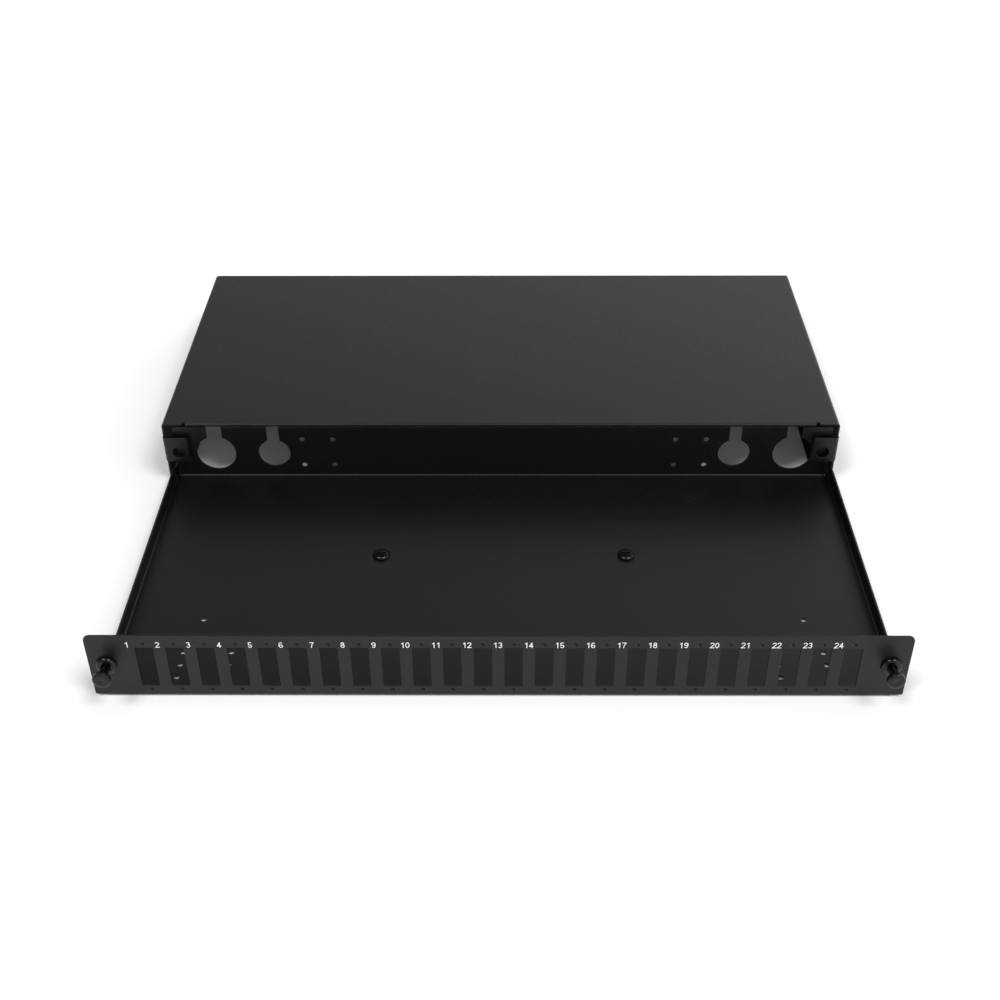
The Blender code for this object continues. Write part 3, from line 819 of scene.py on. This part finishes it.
def zincMaterial():
    material = bpy.data.materials.new("black-passivated zinc plate on steel")
    material.use_nodes = True
    tree = material.node_tree
    shader = tree.nodes["Principled BSDF"]
    where = addNode(tree, "ShaderNodeTexCoord").outputs["Object"]
    patch = addNode(tree, "ShaderNodeTexNoise", {
        "Vector": where, "Scale": perSize(blackZinc["patch"]), "Detail": 3.0})
    tone = addNode(tree, "ShaderNodeMix", {
        0: patch.outputs["Fac"], 6: hexColour(blackZinc["colour"]), 7: hexColour(blackZinc["bloom"]),
    }, data_type="RGBA")
    tree.links.new(tone.outputs[2], shader.inputs["Base Color"])
    low, high = blackZinc["roughness"]
    rough = addNode(tree, "ShaderNodeMapRange", {
        "Value": patch.outputs["Fac"], "From Min": 0.3, "From Max": 0.7, "To Min": low, "To Max": high})
    tree.links.new(rough.outputs["Result"], shader.inputs["Roughness"])
    shader.inputs["Metallic"].default_value = 1.0
    grain = addNode(tree, "ShaderNodeTexNoise", {
        "Vector": where, "Scale": perSize(blackZinc["grain"]), "Detail": 1.0})
    bump = addNode(tree, "ShaderNodeBump", {
        "Height": grain.outputs["Fac"], "Strength": 1.0, "Distance": blackZinc["grainDepth"]})
    tree.links.new(bump.outputs["Normal"], shader.inputs["Normal"])
    return material


def screwHead(radius):
    # the head stands on Z = 0, with its recess cut
    height = floorScrew["headHeight"]
    edge = floorScrew["edge"]
    flat = radius * floorScrew["domeShare"]
    dome = ovalArc(flat, edge, radius - flat, height - edge, 90, 0, floorScrew["arcStep"])
    chamfer = floorScrew["underChamfer"]
    profile = [(0, height)] + dome + [(radius, chamfer), (radius - chamfer, 0), (0, 0)]
    head = meshObject("screw head", turned(profile, floorScrew["steps"]))
    span, wing, depth = floorScrew["recess"]
    bm = bmesh.new()
    rings = []
    mouth, above = floorScrew["recessMouth"]
    for share, z in ((mouth, height + above * depth), (floorScrew["recessFoot"], height - depth)):
        arm, half = share * span / 2, wing / 2 * math.sqrt(share)
        ring = []
        for quarter in range(4):
            turn = Matrix.Rotation(quarter * math.pi / 2, 3, "Z")
            for x, y in ((arm, -half), (arm, half), (half, half)):
                ring.append(bm.verts.new(turn @ Vector((x, y, z))))
        rings.append(ring)
    upper, lower = rings
    bm.faces.new(upper)
    bm.faces.new(lower[::-1])
    for index in range(len(upper)):
        after = (index + 1) % len(upper)
        bm.faces.new((upper[index], lower[index], lower[after], upper[after]))
    bmesh.ops.recalc_face_normals(bm, faces=bm.faces)
    cutter = meshObject("recess", bm)
    boolean(head, cutter)
    head = settle(head, "screw head with recess")
    bpy.data.objects.remove(cutter, do_unlink=True)
    return head


def screwTree():
    # a threaded shank under the head, fused to it, and the whole repeated in a row along X
    tree, given = newTree("row of floor screws", [
        ("Head", "NodeSocketObject"), ("Count", "NodeSocketInt"), ("Spacing", "NodeSocketFloat"),
        ("Shank", "NodeSocketFloat"), ("Length", "NodeSocketFloat"), ("Rows", "NodeSocketInt"),
        ("Pitch", "NodeSocketFloat"), ("Depth", "NodeSocketFloat"), ("Plate", "NodeSocketMaterial")])
    add = sumOf(tree)
    rod = addNode(tree, "GeometryNodeMeshCylinder", {
        "Vertices": 32, "Side Segments": given["Rows"], "Radius": given["Shank"], "Depth": given["Length"]})
    where = addNode(tree, "GeometryNodeInputPosition").outputs[0]
    axes = addNode(tree, "ShaderNodeSeparateXYZ", {0: where}).outputs
    around = add("DIVIDE", add("ARCTAN2", axes["Y"], axes["X"]), 2 * math.pi)
    turns = add("DIVIDE", axes["Z"], given["Pitch"])
    # some whole turns are added, so that the fraction is of a positive number
    phase = add("FRACT", add("ADD", add("SUBTRACT", turns, around), 8.0))
    groove = add("MULTIPLY", add("ABSOLUTE", add("SUBTRACT", phase, 0.5)), 2.0)
    toEnd = add("SUBTRACT", add("DIVIDE", given["Length"], 2.0), add("ABSOLUTE", axes["Z"]))
    fade = addNode(tree, "ShaderNodeMapRange", {
        "Value": toEnd, "From Max": add("MULTIPLY", given["Pitch"], 0.5)}).outputs["Result"]
    cut = add("MULTIPLY", add("MULTIPLY", groove, fade), given["Depth"])
    sideways = addNode(tree, "ShaderNodeVectorMath", {0: where, 1: (-1, -1, 0)}, operation="MULTIPLY")
    inwards = addNode(tree, "ShaderNodeVectorMath", {0: sideways.outputs[0]}, operation="NORMALIZE")
    shift = addNode(tree, "ShaderNodeVectorMath", {0: inwards.outputs[0], "Scale": cut}, operation="SCALE")
    threaded = addNode(tree, "GeometryNodeSetPosition", {
        "Geometry": rod.outputs["Mesh"], "Offset": shift.outputs[0]})
    # the rod's top fifth stands in the head, so its middle is three tenths below the seat
    lowered = addNode(tree, "GeometryNodeTransform", {
        "Geometry": threaded.outputs[0],
        "Translation": addNode(tree, "ShaderNodeCombineXYZ", {
            "Z": add("MULTIPLY", given["Length"], -0.3)}).outputs[0]})
    head = addNode(tree, "GeometryNodeObjectInfo", {"Object": given["Head"]})
    parts = addNode(tree, "GeometryNodeMeshBoolean", operation="UNION", solver="EXACT")
    tree.links.new(head.outputs["Geometry"], parts.inputs["Mesh 2"])
    tree.links.new(lowered.outputs[0], parts.inputs["Mesh 2"])
    row = addNode(tree, "GeometryNodeMeshLine", {
        "Count": given["Count"],
        "Offset": addNode(tree, "ShaderNodeCombineXYZ", {"X": given["Spacing"]}).outputs[0]})
    placed = addNode(tree, "GeometryNodeInstanceOnPoints", {
        "Points": row.outputs[0], "Instance": welded(tree, parts.outputs[0])})
    real = addNode(tree, "GeometryNodeRealizeInstances", {"Geometry": placed.outputs[0]})
    plated = addNode(tree, "GeometryNodeSetMaterial", {
        "Geometry": real.outputs[0], "Material": given["Plate"]})
    addNode(tree, "NodeGroupOutput", {0: plated.outputs[0]})
    return tree


def addFloorScrews():
    low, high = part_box("floor_screw_left")
    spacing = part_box("floor_screw_right")[0].x - low.x
    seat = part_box("drawer_tray")[0].z + floorScrew["floorSheet"]
    head = screwHead(floorScrew["wider"] * (high.x - low.x) / 2)
    plate = zincMaterial()
    pitch, depth = floorScrew["thread"]
    base = link(bpy.data.objects.new("screws", bpy.data.meshes.new("screws")))
    rowMaker = base.modifiers.new("row of screws", "NODES")
    rowMaker.node_group = screwTree()
    giveInputs(rowMaker, {
        "Head": head, "Count": 2, "Spacing": spacing, "Shank": floorScrew["shank"],
        "Length": (seat - low.z) / floorScrew["belowSeat"], "Rows": floorScrew["threadRows"],
        "Pitch": pitch, "Depth": depth, "Plate": plate})
    place = Matrix.Translation(((low.x + high.x) / 2, (low.y + high.y) / 2, seat))
    screws = settle(base, "floor_screws", place, creases=30)
    bpy.data.objects.remove(head, do_unlink=True)
    dress(screws, plate, "drawer", "black_zinc_screw", "floor_screw_left", "floor_screw_right")


addFloorScrews()
print("floor screws made")
